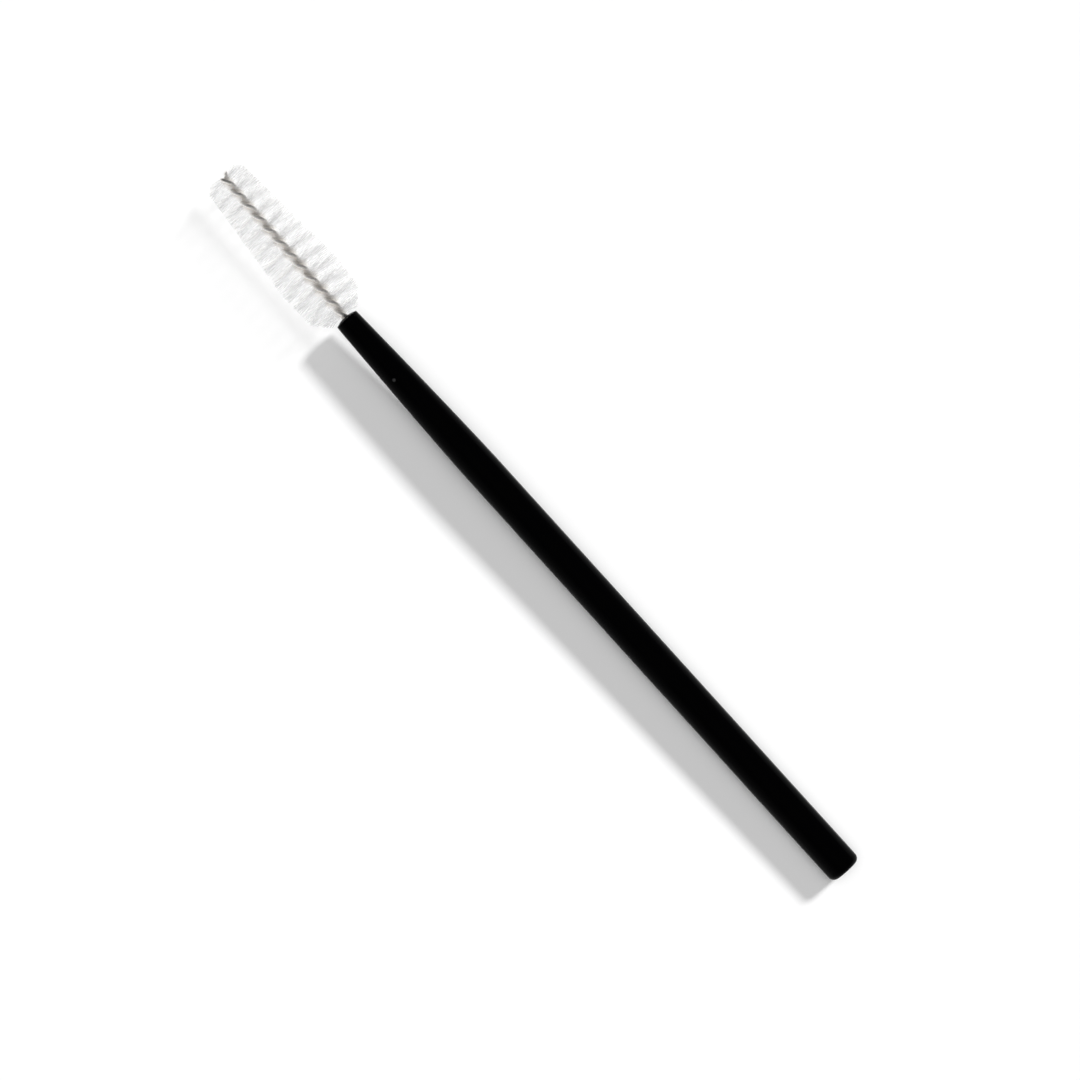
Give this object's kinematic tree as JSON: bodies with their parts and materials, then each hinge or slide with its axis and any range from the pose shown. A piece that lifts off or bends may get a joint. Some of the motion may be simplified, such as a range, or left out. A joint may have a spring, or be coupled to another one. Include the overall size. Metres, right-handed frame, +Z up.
{
  "type": "eyebrow brush",
  "caption": "Slim eyebrow brush lying on its side: a tapered black plastic handle holding a twisted steel wire with a helical brush of clear white nylon bristles.",
  "frame": {"origin": "on the surface that the brush lies on, under the middle of its length and under the handle's axis", "axes": "+X along the brush from the bristles to the tail of the handle, +Z up off the surface, +Y to the side that the bristles lean to"},
  "size_m": [0.1001, 0.0072, 0.0072],
  "materials": {
    "black_plastic": "moulded black plastic, semi-gloss",
    "steel_wire": "bright drawn steel wire, twisted",
    "nylon": "clear white nylon filaments, trimmed"
  },
  "bodies": {
    "root": {"handle": "black_plastic", "core_wire": "steel_wire", "bristles": "nylon"}
  },
  "joints": []
}
